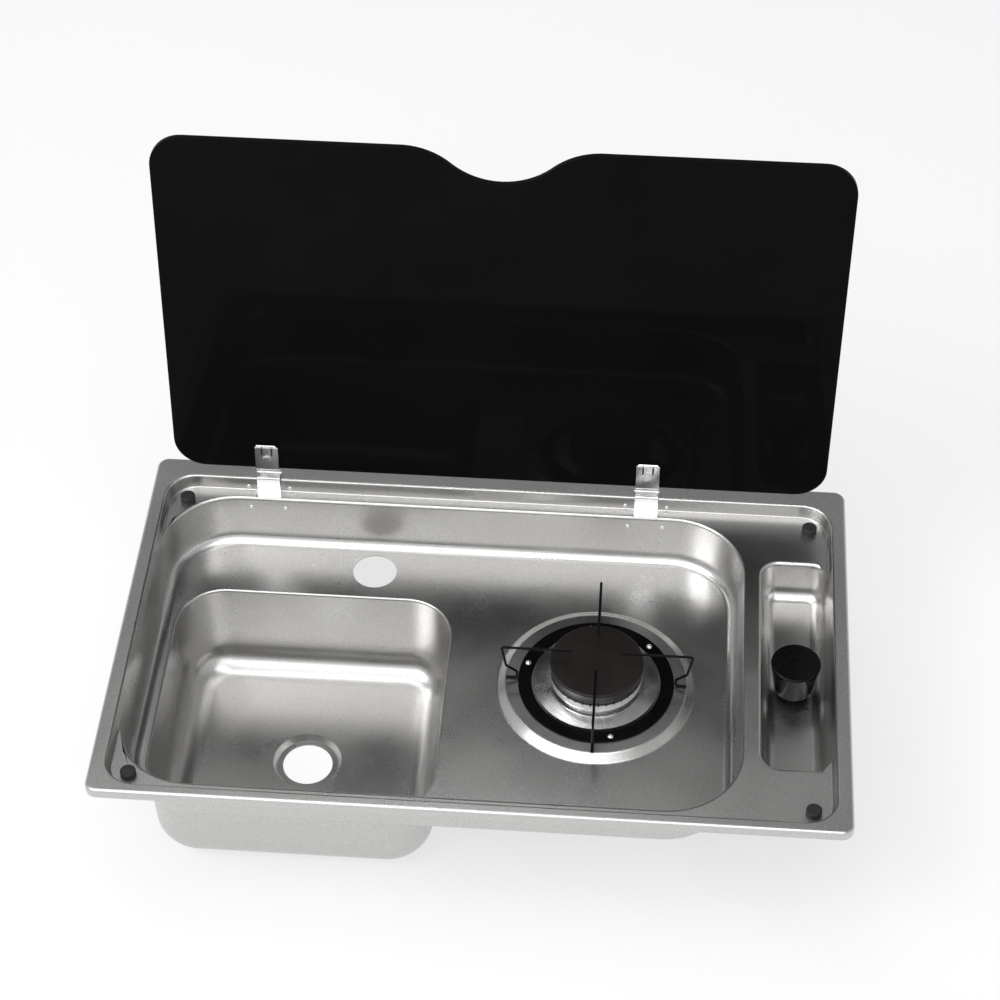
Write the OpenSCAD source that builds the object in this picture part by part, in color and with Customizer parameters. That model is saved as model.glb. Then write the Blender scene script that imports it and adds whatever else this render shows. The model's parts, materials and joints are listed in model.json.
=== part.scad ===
// Hob and sink combo for a caravan or boat galley.
// Origin: centre of the rim, on the worktop plane. X right, Y back, Z up.
// The lid is drawn open, as it stands on its hinge stops.

/* [Rim] */
// Width of the rim, left to right
rim_w = 600; // [590:1:660]
// Depth of the rim, front to back
rim_d = 370; // [365:1:430]
// Height of the rim above the worktop
rim_h = 8; // [7:0.5:12]
// Corner radius of the rim
rim_r = 10; // [8:0.5:16]
// Radius of the rolled outer edge
rim_roll = 3; // [2:0.5:5]
// Thickness of the pressed steel sheet
sheet = 0.8; // [0.6:0.1:1.2]
// Width of the seal under the rim
seal_w = 4.5; // [3:0.5:6]
// Distance from the rim's outer edge to the seal
seal_inset = 3.1; // [2.5:0.1:3.5]

/* [Lid recess] */
// Flat of the rim beside the recess, left and right
flat_side = 13; // [12:0.5:20]
// Flat of the rim in front of the recess
flat_front = 10; // [9.5:0.5:16]
// Flat of the rim behind the recess
flat_back = 20.8; // [20:0.1:30]
// Depth of the lid recess below the rim
recess_h = 12; // [11:0.5:16]
// Corner radius of the recess
recess_r = 25; // [18:1:34]
// How far the recess walls lean in
recess_draft = 1.5; // [0.5:0.1:3]
// Radius between recess wall and deck
recess_foot = 1.5; // [1:0.1:2]
// Radius of the pressed upper edges
edge_roll = 2; // [1.5:0.1:3]

/* [Well] */
// Width of the deck strip in front of the well
deck_front = 11.5; // [11:0.5:16]
// Width of the deck strip behind the well
deck_back = 10.7; // [10:0.1:16]
// Width of the deck between the well and the knob trough
deck_between = 15.5; // [12:0.5:20]
// Depth of the well below the deck
well_h = 48; // [44:1:60]
// Corner radius of the well
well_r = 62; // [50:1:66]
// How far the well walls lean in
well_draft = 3; // [2:0.5:4]
// Radius between well wall and well floor
well_foot = 10; // [8:0.5:12]

/* [Basin] */
// Width of well floor left of the basin
basin_left = 17; // [15:0.5:24]
// Width of well floor between the basin and the burner's plinth
basin_right = 44; // [36:0.5:80]
// Depth of well floor in front of the basin
basin_front = 22.05; // [20:0.05:30]
// Depth of well floor behind the basin
basin_back = 66.45; // [60:0.05:90]
// Depth of the basin below the well floor
basin_h = 87.5; // [70:0.5:120]
// Corner radius of the basin
basin_r = 40; // [32:1:60]
// How far the basin walls lean in
basin_draft = 2.5; // [1:0.5:5]
// Radius between basin wall and basin floor
basin_foot = 25; // [12:1:28]
// Radius of the drain dish
dish_r = 29.3; // [27:0.1:40]
// Depth of the drain dish
dish_h = 5; // [3:0.5:8]
// Radius of the waste hole
waste_r = 21.3; // [18:0.1:24]
// Radius of the tap hole
tap_r = 19; // [12:0.5:20]
// Distance of the tap hole from the well's left edge
tap_left = 180.9; // [160:0.1:200]
// Distance of the tap hole from the well's back edge
tap_back = 34.9; // [33:0.1:40]

/* [Knob trough] */
// Width of the trough
trough_w = 56.5; // [53:0.5:62]
// Distance from the rim's front edge to the trough
trough_in_front = 70.5; // [60:0.5:95]
// Distance from the rim's back edge to the trough
trough_in_back = 78; // [65:0.5:95]
// Depth of the trough below the deck
trough_h = 37; // [35:0.5:42]
// Corner radius of the trough
trough_r = 15; // [15:0.5:20]
// How far the trough walls lean in
trough_draft = 2; // [1:0.5:2.5]
// Radius between trough wall and trough floor
trough_foot = 12; // [8:0.5:12]

/* [Burner] */
// Distance of the burner from the well's right edge
burner_in = 119.8; // [110:0.1:128]
// Place of the burner, back from the middle
burner_y = 0; // [-6:0.5:6]
// Radius of the raised plinth at the well floor
plinth_r = 82.7; // [80:0.1:86]
// Width of the plinth's sloping edge
plinth_slope = 7.1; // [5:0.1:8]
// Height of the plinth
plinth_h = 5.2; // [4:0.1:7]
// Radius of the plinth's opening for the burner
opening_r = 47; // [46.8:0.1:48]
// Outer radius of the black ring
ring_r = 65.2; // [64:0.1:67]
// Inner radius of the black ring
ring_hole_r = 53.9; // [53:0.1:55]
// Thickness of the black ring
ring_t = 1.4; // [1:0.1:2]
// Radius of the circle of ring screws
screw_circle = 60; // [59:0.1:61]
// Radius of the burner cap
cap_r = 39; // [36:0.5:42]
// Height of the burner cap
cap_h = 12.5; // [10:0.5:14]
// Radius of the burner head's upper flange
head_r = 38.5; // [36:0.5:42]
// Height of the burner head above its seat
head_h = 13.5; // [12:0.5:15]
// Radius of the burner cup's seat for the head
step_r = 45; // [44:0.5:46]
// Upper radius of the burner head's flared foot
flare_r = 41.5; // [40:0.5:44]
// Number of flame ports
ports = 36; // [24:2:48]
// Depth of the burner cup below its flange
cup_h = 26; // [24:1:30]

/* [Pan support] */
// Diameter of the pan support wires
wire_d = 2.2; // [2:0.1:3.5]
// Height of the wires above the well floor
wire_h = 43.4; // [40:0.1:46]
// Radius where the wires end over the cap
wire_inner = 20.5; // [16:0.5:26]
// Radius of the wires' outer bends
wire_outer = 79.5; // [77:0.5:82]

/* [Knob and valve] */
// Distance of the knob from the trough's left edge
knob_in = 28; // [26:0.5:30]
// Place of the knob, back from the middle
knob_y = -4.6; // [-20:0.1:20]
// Radius of the knob's top
knob_r = 20.5; // [18:0.5:22]
// Radius of the knob's lower edge
knob_foot_r = 15.8; // [13:0.1:17]
// Height of the knob
knob_h = 30.5; // [26:0.5:32]
// Gap from the trough floor to the knob
knob_gap = 8; // [7:0.5:9]
// Travel of the knob when it is pushed in
knob_travel = 4; // [3:0.5:4.5]
// Radius of the valve spindle
spindle_r = 3; // [2.5:0.1:3.5]
// Radius of the valve body
valve_r = 11; // [10.5:0.5:13]
// Radius of the burner pipe
feed_r = 3; // [2.5:0.5:4]
// Radius of the gas inlet pipe
inlet_r = 4; // [3.5:0.5:5]
// Distance from the rim's back edge to the end of the gas inlet pipe
inlet_in = 35; // [25:1:95]

/* [Lid] */
// Gap between the closed lid and the recess, left and right
lid_side = 6.6; // [5:0.1:12]
// Gap between the closed lid and the recess at the front
lid_front = 4; // [3:0.5:12]
// Thickness of the glass
lid_t = 5; // [4:0.5:5]
// Corner radius of the glass
lid_r = 27; // [20:1:40]
// Half the width of the finger notch
notch_w = 80; // [50:1:110]
// Depth of the finger notch
notch_h = 30; // [15:1:40]
// Turn of the lid from closed to open, in degrees
lid_turn = 96.3; // [92:0.1:97]
// Gap between the closed lid and the rim's top plane
lid_sink = 0.5; // [0.3:0.1:1]

/* [Hinges] */
// Distance of the left hinge from the rim's left edge
hinge_in_left = 99.7; // [80:0.1:140]
// Distance of the right hinge from the rim's right edge
hinge_in_right = 171.5; // [120:0.1:190]
// Width of each hinge
hinge_w = 20; // [18:0.5:26]
// Thickness of the hinge plates
plate = 1.2; // [1:0.1:1.4]
// Distance of the hinge pin behind the recess edge
pin_back = 5.9; // [5.5:0.1:7]
// Height of the hinge pin above the rim
pin_up = 3; // [3:0.1:3.5]
// Radius of the hinge pin
pin_r = 1.25; // [1:0.05:1.4]
// Radius of the hinge barrels
barrel_r = 2.6; // [2.4:0.1:2.7]
// Reach of the clamp over the glass
clamp_reach = 28; // [24:1:34]

/* [Rubber bumpers] */
// Radius of the rubber bumpers
bumper_r = 6.3; // [4:0.1:7]
// Distance of the bumpers from the recess's sides
bumper_side = 17.5; // [16:0.5:20]
// Distance of the front bumpers from the recess's front edge
bumper_in_front = 17; // [15:0.5:20]
// Distance of the back bumpers from the recess's back edge
bumper_in_back = 18.2; // [16:0.1:22]

/* [Hidden] */
$fn = 96;
// Clearances: parts that only pass, parts that turn or slide, threads and close fits
gap = 0.3;
run = 0.05;
snug = 0.05;
loose = 0.2;
over = 1;
tuck = 0.2;
swell = 0.02;

// Levels
deck_z = rim_h - recess_h;
floor_z = deck_z - well_h;
basin_z = floor_z - basin_h;
trough_z = deck_z - trough_h;
plinth_z = floor_z + plinth_h;
under_plinth = plinth_z - sheet;

// Recess at its upper edge
rx0 = flat_side - rim_w / 2;
rx1 = rim_w / 2 - flat_side;
ry0 = flat_front - rim_d / 2;
ry1 = rim_d / 2 - flat_back;
collar = recess_foot + 0.1;

// Trough at the deck; its right wall carries on from the recess wall
tx1 = rx1 - recess_draft;
tx0 = tx1 - trough_w;
trough_front = trough_in_front - rim_d / 2;
trough_back = rim_d / 2 - trough_in_back;

// Well at the deck; its left wall carries on from the recess wall
wx0 = rx0 + recess_draft;
wx1 = tx0 - deck_between;
wy0 = ry0 + recess_draft + deck_front;
wy1 = ry1 - recess_draft - deck_back;
burner_x = wx1 - burner_in;

// Basin mouth at the well floor
bx0 = wx0 + basin_left;
bx1 = burner_x - plinth_r - basin_right;
by0 = wy0 + basin_front;
by1 = wy1 - basin_back;
basin_x = (bx0 + bx1) / 2;
basin_y = (by0 + by1) / 2;

// Places that follow the rim, the recess and the well
tap_x = wx0 + tap_left;
tap_y = wy1 - tap_back;
knob_x = tx0 + knob_in;
hinge_left = hinge_in_left - rim_w / 2;
hinge_right = rim_w / 2 - hinge_in_right;
bumper_x = rx1 - bumper_side;
bumper_front = ry0 + bumper_in_front;
bumper_back = ry1 - bumper_in_back;
inlet_end = rim_d / 2 - inlet_in;

// Burner levels
ring_z = plinth_z + ring_t;
seat_z = floor_z + 7;
step_t = 3;
skirt_t = 0.8;
skirt_r = ring_hole_r - 1.4;
head_top = seat_z + head_h;
flange_t = 7;
neck_r = head_r - 4.5;
chamber_r = head_r - 7.5;
port_w = 1.2;
port_h = 1.5;
cup_r = step_r + 1;
cup_wall = 3;
cup_flange_r = ring_r + 0.8;
cup_flange_t = 2.5;
cup_z = under_plinth - cup_h;
cup_floor_t = 2;
screw_r = 1.5;
screw_head_r = 2.6;
screw_head_h = 1.6;
dome_r = (screw_head_r * screw_head_r + screw_head_h * screw_head_h) / (2 * screw_head_h);
screw_angles = [-76, 44, 164];
probe_r = 1.6;
probe_angle = 98;
probe_at = ring_hole_r - 3.6;
probe_x = burner_x + probe_at * cos(probe_angle);
probe_y = burner_y + probe_at * sin(probe_angle);
probe_top = head_top - 1.2;
probe_gap = 1;
probe_end = under_plinth - 12;
lead_r = 1.2;
venturi_r = 9;
venturi_wall = 2;
jet_r = 5;
jet_z = cup_z + cup_floor_t;
holder_r = 8;
holder_h = 19;
stub_r = 6;
feed_z = cup_z - 11;

// Pan support, as radius and height in the plane of one wire
wire_r = wire_d / 2;
wire_z = floor_z + wire_h;
wire_side = ring_r + wire_r + loose;
wire_foot_z = plinth_z + wire_r + snug;
wire_foot_end = 75.5;
wire_bend = 2.5;
wire_path = [
    [wire_inner, 0, wire_z],
    [wire_outer, 0, wire_z],
    [wire_outer - 4, 0, floor_z + 21],
    [wire_side, 0, floor_z + 14],
    [wire_side, 0, wire_foot_z],
    [wire_foot_end, 0, wire_foot_z],
];

// Knob and valve levels
knob_z = trough_z + knob_gap;
knob_wall = 2;
knob_boss_r = 5.5;
knob_edge = 1.5;
under_trough = trough_z - sheet;
neck_rise = 2.6;
neck_wall = 2;
valve_neck_r = spindle_r + neck_wall;
cover_top = under_trough - loose;
cover_t = 3;
cover_z = cover_top - cover_t;
plug_top_z = cover_z - 11;
plug_h = 16;
plug_r = 7.5;
plug_taper = 1.2;
plug_z = plug_top_z - plug_h;
seat_wall = 4;
seat_r = 4.5;
port_z = plug_z - seat_wall;
magnet_r = 6.5;
valve_z = port_z - 14;
outlet_z = plug_z + plug_h / 2;
intake_z = port_z - 6;
stub_reach = 20;
holder_reach = 16;
nut_len = 11;
bead_at = 7;
bead_t = 1.5;
bead_rise = 1;
drop_x = knob_x - stub_reach - 14;
feed_turn = atan2(knob_y - burner_y, drop_x - burner_x);
spring_r = 4.3;
spring_wire = 0.45;
spring_turns = 7;
spring_steps = 12;
collar_r = 5.2;
collar_t = 1.2;
collar_z = cover_z - gap - collar_t;
stem_r = 1.2;
stem_top = plug_z - 1 - gap;
disc_r = 5.5;
disc_t = 1.3;
magnet_z = valve_z + 4;

// Lid and hinge geometry, drawn closed
under_glass = rim_h - lid_sink - lid_t;
over_glass = rim_h - lid_sink;
pin_y = ry1 + pin_back;
pin_z = rim_h + pin_up;
leg_y = ry1 - recess_draft - 0.6 - plate;
web_y = leg_y - 0.5 - plate;
glass_back = web_y - 0.7;
lid_w = rx1 - rx0 - 2 * lid_side;
lid_d = glass_back - ry0 - lid_front;
pad = 0.5;
bend_in = 0.6;
bend_out = bend_in + plate;
top_plate_z = pin_z + 0.1;
arm_z = top_plate_z + plate + 0.4;
knuckle = 8;
knuckle_gap = 0.4;
heel = 2.6;
overlap = 1;
arm_wide_end = pin_y - 3.5;
clamp_back_reach = 16.5;
clamp_screw_y = glass_back - 11.2;
clamp_screw_r = 2;
clamp_head_r = 3.6;
clamp_head_h = 1.8;
clamp_nut_r = 3.8;
clamp_nut_h = 2.8;
clamp_slot_w = 1.4;
clamp_slot_x = 4.3;
clamp_slot_end = glass_back - 14.5;
clamp_chamfer = 3;
lip_l = 5;
lip_turn = 35;
lip_bend_y = glass_back - clamp_reach + lip_l;
lip_drop = lip_l * sin(lip_turn);

// Backing plates behind the hinges and their rivets
rivet_r = 1;
rivet_head_r = 1.9;
rivet_head_h = 0.8;
rivet_clinch_h = 1;
touch = 0.02;
rivet_upper_z = deck_z + 3.4;
rivet_lower_z = deck_z - 9.8;
rivet_upper_x = 18;
rivet_lower_x = 15;
backing_w = 46;
well_lean = well_draft / (well_h - well_foot);
recess_lean = recess_draft / (recess_h - edge_roll - recess_foot);
upper_face_y = ry1 - recess_lean * (recess_h - edge_roll - (rivet_upper_z - deck_z));
lower_face_y = wy1 - well_lean * (deck_z - rivet_lower_z);
backing_back = ry1 + sheet + 0.3;
backing_front = wy1 + sheet + 0.1;
backing_top = deck_z - sheet - 0.1;

// Side view of a pressed tub from its corner centre line out to the wall
module tub_profile(r, depth, draft, foot, roll, lip) {
    wall = r - draft;
    difference() {
        union() {
            if (roll > 0)
                polygon([[0, 0], [r + roll, 0], [r + roll, -lip], [r, -lip],
                    [wall, foot - depth], [0, foot - depth]]);
            else
                polygon([[0, 0], [r, 0], [wall, foot - depth], [0, foot - depth]]);
            translate([0, -depth]) square([wall - foot, foot]);
            intersection() {
                translate([wall - foot, foot - depth]) circle(foot);
                translate([0, -depth]) square([r, foot]);
            }
        }
        if (roll > 0) translate([r + roll, -lip]) circle(roll);
    }
}

// Solid in the shape of a tub, open side at z = 0
module tub(x0, x1, y0, y1, r, depth, draft, foot, roll = 0, lip = 0) {
    long = x1 - x0 - 2 * r;
    deep = y1 - y0 - 2 * r;
    translate([x0 + r, y0 + r, -depth]) cube([long, deep, depth]);
    corners = [[x0 + r, y0 + r, 180], [x1 - r, y0 + r, 270], [x1 - r, y1 - r, 0], [x0 + r, y1 - r, 90]];
    for (c = corners) {
        translate([c[0], c[1], 0]) rotate([0, 0, c[2]]) rotate_extrude(angle = 90)
            tub_profile(r, depth, draft, foot, roll, lip);
        span = (c[2] % 180 == 0) ? deep : long;
        translate([c[0], c[1], 0]) rotate([0, 0, c[2]]) translate([0, -span, 0]) rotate([90, 0, 0])
            mirror([0, 0, 1]) linear_extrude(span) tub_profile(r, depth, draft, foot, roll, lip);
    }
}

// Flat plan shape with round corners
module round_plan(x0, x1, y0, y1, r) {
    translate([x0 + r, y0]) square([x1 - x0 - 2 * r, y1 - y0]);
    translate([x0, y0 + r]) square([x1 - x0, y1 - y0 - 2 * r]);
    for (x = [x0 + r, x1 - r], y = [y0 + r, y1 - r]) translate([x, y]) circle(r);
}

module round_block(x0, x1, y0, y1, r, z0, z1) {
    translate([0, 0, z0]) linear_extrude(z1 - z0) round_plan(x0, x1, y0, y1, r);
}

// Straight rod between two points
module rod(a, b, r) {
    d = b - a;
    long = norm(d);
    translate(a) rotate([0, acos(d[2] / long), atan2(d[1], d[0])]) cylinder(h = long, r = r);
}

// Rod bent round the corners of a path; straight ends are tucked into slightly thicker bends
module bent_rod(path, r, bend) {
    last = len(path) - 1;
    unit = [for (i = [0:last - 1]) (path[i + 1] - path[i]) / norm(path[i + 1] - path[i])];
    turn = [for (i = [1:last - 1]) acos(unit[i - 1] * unit[i])];
    cut = [for (i = [0:last]) (i == 0 || i == last) ? 0 : bend * tan(turn[i - 1] / 2)];
    for (i = [0:last - 1]) {
        start_tuck = (i == 0) ? 0 : tuck;
        end_tuck = (i == last - 1) ? 0 : tuck;
        rod(path[i] + (cut[i] - start_tuck) * unit[i], path[i + 1] - (cut[i + 1] - end_tuck) * unit[i], r);
    }
    for (i = [1:last - 1]) {
        u = unit[i - 1];
        w0 = unit[i] - (unit[i] * u) * u;
        w = w0 / norm(w0);
        n = cross(u, w);
        c = path[i] - cut[i] * u + bend * w;
        multmatrix([[-w[0], u[0], n[0], c[0]], [-w[1], u[1], n[1], c[1]],
                [-w[2], u[2], n[2], c[2]], [0, 0, 0, 1]])
            rotate_extrude(angle = turn[i - 1]) translate([bend, 0]) circle(r + swell);
    }
}

// Quarter of a bent plate's edge, seen from the side
module bend_plan(y, z, turn) {
    translate([y, z]) rotate(turn) intersection() {
        difference() {
            circle(bend_out);
            circle(bend_in);
        }
        square(bend_out);
    }
}

// Plate section in the Y-Z plane, pulled out along X about its middle
module pulled(width, x = 0) {
    translate([x + width / 2, 0, 0]) rotate([90, 0, -90]) mirror([1, 0, 0]) linear_extrude(width) children();
}

module plate_plan(y0, y1, z0, z1) {
    translate([y0, z0]) square([y1 - y0, z1 - z0]);
}

// Pressed steel top with its recess, well, basin and trough
module steel_top() {
    color("silver") difference() {
        union() {
            difference() {
                mirror([0, 0, 1]) tub(-rim_w / 2, rim_w / 2, -rim_d / 2, rim_d / 2, rim_r, rim_h, 0, rim_roll);
                translate([0, 0, -over]) round_block(sheet - rim_w / 2, rim_w / 2 - sheet,
                    sheet - rim_d / 2, rim_d / 2 - sheet, rim_r - sheet, 0, over);
                mirror([0, 0, 1]) tub(sheet - rim_w / 2, rim_w / 2 - sheet, sheet - rim_d / 2,
                    rim_d / 2 - sheet, rim_r - sheet, rim_h - sheet, 0, rim_roll - sheet);
            }
            recess(sheet);
            well(sheet);
            basin(sheet);
            trough(sheet);
            plinth(0);
        }
        recess(0);
        well_space();
        basin(0);
        trough(0);
        plinth_hollow();
        translate([burner_x, burner_y, under_plinth - over]) cylinder(h = sheet + 2 * over, r = opening_r);
        at_screws() cylinder(h = 20, r = screw_r + loose, center = true);
        translate([probe_x, probe_y, under_plinth - over])
            cylinder(h = sheet + 2 * over, r = probe_r + 3 * loose);
        translate([tap_x, tap_y, floor_z - sheet - over]) cylinder(h = sheet + 2 * over, r = tap_r);
        translate([knob_x, knob_y, under_trough - over])
            cylinder(h = sheet + 2 * over, r = valve_neck_r + gap);
        at_bumpers() translate([0, 0, deck_z - sheet - over]) cylinder(h = sheet + 2 * over, r = 2);
        rivet_holes();
    }
}

// Each tub is drawn twice: grown by the sheet as its outside, and as its inside
module recess(grow) {
    translate([0, 0, rim_h]) tub(rx0 - grow, rx1 + grow, ry0 - grow, ry1 + grow, recess_r + grow,
        recess_h + grow, recess_draft, recess_foot + grow, edge_roll - grow, edge_roll);
}

module well(grow) {
    translate([0, 0, deck_z]) tub(wx0 - grow, wx1 + grow, wy0 - grow, wy1 + grow, well_r + grow,
        well_h + grow, well_draft, well_foot + grow);
    round_block(wx0 - grow, wx1 + grow, wy0 - grow, wy1 + grow, well_r + grow, deck_z, deck_z + collar);
}

module basin(grow) {
    translate([0, 0, floor_z]) tub(bx0 - grow, bx1 + grow, by0 - grow, by1 + grow, basin_r + grow,
        basin_h + grow, basin_draft, basin_foot + grow, edge_roll - grow, edge_roll);
    translate([basin_x, basin_y, basin_z - dish_h - grow])
        cylinder(h = dish_h + grow, r1 = dish_r - 3.3 + grow, r2 = dish_r + grow);
    if (grow == 0)
        translate([basin_x, basin_y, basin_z - dish_h - sheet - over])
            cylinder(h = sheet + 2 * over, r = waste_r);
}

module trough(grow) {
    translate([0, 0, deck_z]) tub(tx0 - grow, tx1 + grow, trough_front - grow, trough_back + grow,
        trough_r + grow, trough_h + grow, trough_draft, trough_foot + grow);
    round_block(tx0 - grow, tx1 + grow, trough_front - grow, trough_back + grow, trough_r + grow,
        deck_z, deck_z + collar);
}

module plinth(drop) {
    translate([burner_x, burner_y, floor_z - drop])
        cylinder(h = plinth_h, r1 = plinth_r, r2 = plinth_r - plinth_slope);
}

// Space inside the well, less the plinth that stands on its floor
module well_space() {
    difference() {
        well(0);
        plinth(0);
    }
}

module plinth_hollow() {
    plinth(sheet);
    translate([burner_x, burner_y, floor_z - sheet - over]) cylinder(h = over, r = plinth_r);
}

module at_screws() {
    for (a = screw_angles)
        translate([burner_x, burner_y, plinth_z]) rotate([0, 0, a]) translate([screw_circle, 0, 0]) children();
}

module at_bumpers() {
    for (x = [-bumper_x, bumper_x], y = [bumper_front, bumper_back]) translate([x, y, 0]) children();
}

// Foam seal between the rim and the worktop
module rim_seal() {
    out_x = rim_w / 2 - seal_inset;
    out_y = rim_d / 2 - seal_inset;
    out_r = rim_r - seal_inset;
    color("dimgray") difference() {
        round_block(-out_x, out_x, -out_y, out_y, out_r, 0, rim_h - sheet);
        round_block(seal_w - out_x, out_x - seal_w, seal_w - out_y, out_y - seal_w, out_r - seal_w,
            -over, rim_h);
    }
}

// Push-in rubber stop under a corner of the lid
module bumper(x, y) {
    tall = under_glass - gap - deck_z;
    color("black") translate([x, y, deck_z]) {
        cylinder(h = tall - 1, r = bumper_r);
        translate([0, 0, tall - 1]) cylinder(h = 1, r1 = bumper_r, r2 = bumper_r - 1);
        translate([0, 0, -sheet - 3]) cylinder(h = sheet + 3, r = 1.8);
        translate([0, 0, -sheet - 3]) cylinder(h = 2.8, r1 = 1.8, r2 = 2.6);
    }
}

// Fixed hinge bracket: foot on the deck, leg, plate over the recess edge and two barrels
module hinge_bracket(x) {
    side = (hinge_w - knuckle) / 2 - knuckle_gap;
    side_x = hinge_w / 2 - side / 2;
    plate_end = pin_y - barrel_r - 0.6;
    leg_back = leg_y + plate;
    color("gainsboro") difference() {
        union() {
            pulled(hinge_w + 2.6, x) plate_plan(wy1 + 0.4, leg_back - bend_out, deck_z, deck_z + plate);
            pulled(hinge_w, x) {
                plate_plan(leg_back - bend_out - overlap, leg_back - bend_out, deck_z, deck_z + plate);
                bend_plan(leg_back - bend_out, deck_z + bend_out, -90);
                plate_plan(leg_y, leg_back, deck_z + bend_out, top_plate_z + plate - bend_out);
                bend_plan(leg_y + bend_out, top_plate_z + plate - bend_out, 90);
                plate_plan(leg_y + bend_out, plate_end, top_plate_z, top_plate_z + plate);
            }
            for (s = [-1, 1]) pulled(side, x + s * side_x) {
                plate_plan(plate_end - overlap, pin_y, top_plate_z, top_plate_z + plate);
                translate([pin_y, pin_z]) circle(barrel_r);
            }
        }
        translate([x, pin_y, pin_z]) rotate([0, 90, 0]) cylinder(h = hinge_w + 2, r = pin_r + 0.02, center = true);
    }
}

module hinge_pin(x) {
    color("lightgray") translate([x, pin_y, pin_z]) rotate([0, 90, 0]) {
        cylinder(h = hinge_w + 1, r = pin_r, center = true);
        for (s = [-1, 1]) translate([0, 0, s * (hinge_w / 2 + 0.5)]) cylinder(h = 0.8, r = pin_r + 0.5, center = true);
    }
}

// Channel that stiffens the deck strip under a hinge
module hinge_backing(x) {
    color("darkgray") difference() {
        translate([x - backing_w / 2, 0, 0]) {
            translate([0, backing_front, backing_top - plate]) cube([backing_w, backing_back + plate - backing_front, plate]);
            translate([0, backing_back, backing_top - plate]) cube([backing_w, plate, 9]);
            translate([0, backing_front, rivet_lower_z - 4]) cube([backing_w, plate, backing_top - rivet_lower_z + 4]);
        }
        rivet_holes();
    }
}

module at_rivets(x) {
    for (s = [-1, 1]) {
        translate([x + s * rivet_upper_x, upper_face_y, rivet_upper_z]) rotate([-90, 0, 0]) children(0);
        translate([x + s * rivet_lower_x, lower_face_y, rivet_lower_z]) rotate([-90, 0, 0]) children(1);
    }
}

module rivet_holes() {
    for (x = [hinge_left, hinge_right]) at_rivets(x) {
        translate([0, 0, -over]) cylinder(h = 8, r = rivet_r + snug);
        translate([0, 0, -over]) cylinder(h = 8, r = rivet_r + snug);
    }
}

// Rivet whose head leans with the wall that it sits on
module rivet(grip, lean) {
    rotate([-atan(lean), 0, 0]) translate([0, 0, -rivet_head_h - touch])
        cylinder(h = rivet_head_h, r1 = rivet_head_r - 0.6, r2 = rivet_head_r);
    translate([0, 0, -rivet_head_h / 2]) cylinder(h = grip + rivet_head_h, r = rivet_r);
    translate([0, 0, grip]) cylinder(h = rivet_clinch_h, r = rivet_head_r - 0.1);
}

module hinge_rivets() {
    color("whitesmoke") for (x = [hinge_left, hinge_right]) at_rivets(x) {
        rivet(backing_back + plate - upper_face_y, recess_lean);
        rivet(backing_front + plate - lower_face_y, well_lean);
    }
}

// Cup that holds the burner in the plinth
module burner_cup() {
    color("gray") difference() {
        translate([burner_x, burner_y, 0]) {
            translate([0, 0, under_plinth - cup_flange_t]) cylinder(h = cup_flange_t, r = cup_flange_r);
            translate([0, 0, cup_z]) cylinder(h = seat_z - cup_z, r = cup_r);
        }
        translate([burner_x, burner_y, jet_z]) cylinder(h = seat_z - jet_z + over, r = cup_r - cup_wall);
        translate([burner_x, burner_y, cup_z - over]) cylinder(h = cup_floor_t + 2 * over, r = stub_r + loose);
        for (a = [45:90:315]) translate([burner_x, burner_y, cup_z - over]) rotate([0, 0, a])
            translate([25, 0, 0]) cylinder(h = cup_floor_t + 2 * over, r = 6);
        at_screws() translate([0, 0, -sheet - cup_flange_t - over]) cylinder(h = cup_flange_t + 2 * over, r = screw_r + snug);
        translate([probe_x, probe_y, under_plinth - cup_flange_t - over])
            cylinder(h = cup_flange_t + 2 * over, r = probe_r + snug);
    }
}

// Burner head: flared foot, neck, flange with flame ports, and the mixing tube
module burner_head() {
    tube_z = jet_z + 8;
    color("lightgray") translate([burner_x, burner_y, 0]) difference() {
        union() {
            translate([0, 0, seat_z]) cylinder(h = skirt_t, r = skirt_r);
            translate([0, 0, seat_z + skirt_t]) cylinder(h = step_t - skirt_t, r1 = skirt_r, r2 = flare_r);
            translate([0, 0, seat_z]) cylinder(h = head_h, r = neck_r);
            translate([0, 0, head_top - flange_t]) cylinder(h = flange_t, r = head_r);
            translate([0, 0, tube_z]) cylinder(h = seat_z + 1 - tube_z, r = venturi_r);
        }
        translate([0, 0, seat_z + step_t]) cylinder(h = head_h, r = chamber_r);
        translate([0, 0, tube_z - over]) cylinder(h = seat_z + step_t + 2 * over - tube_z, r = venturi_r - venturi_wall);
        for (i = [0:ports - 1]) rotate([0, 0, (i + 0.5) * 360 / ports])
            translate([chamber_r - over, -port_w / 2, head_top - port_h]) cube([head_r, port_w, port_h + over]);
        translate([probe_x - burner_x, probe_y - burner_y, seat_z - over])
            cylinder(h = step_t + 2 * over, r = probe_r + probe_gap);
    }
}

module burner_cap() {
    low_r = cap_r - 2.5;
    edge = 1.5;
    spigot_r = chamber_r - gap;
    color("#2b211d") translate([burner_x, burner_y, head_top]) rotate_extrude() difference() {
        union() {
            polygon([[0, 0], [low_r, 0], [cap_r, cap_h - edge], [0, cap_h - edge]]);
            translate([0, cap_h - edge]) square([cap_r - edge, edge]);
            intersection() {
                translate([cap_r - edge, cap_h - edge]) circle(edge);
                translate([cap_r - edge, cap_h - edge]) square(edge);
            }
            translate([0, -2]) square([spigot_r, 2]);
        }
        translate([0, -3]) square([spigot_r - 3, 3 + cap_h / 2]);
    }
}

// Black ring that clamps the plinth to the burner cup
module burner_ring() {
    color("#1c1c1c") difference() {
        translate([burner_x, burner_y, plinth_z]) cylinder(h = ring_t, r = ring_r);
        translate([burner_x, burner_y, plinth_z - over]) cylinder(h = ring_t + 2 * over, r = ring_hole_r);
        at_screws() cylinder(h = 10, r = screw_r + loose, center = true);
    }
}

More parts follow.
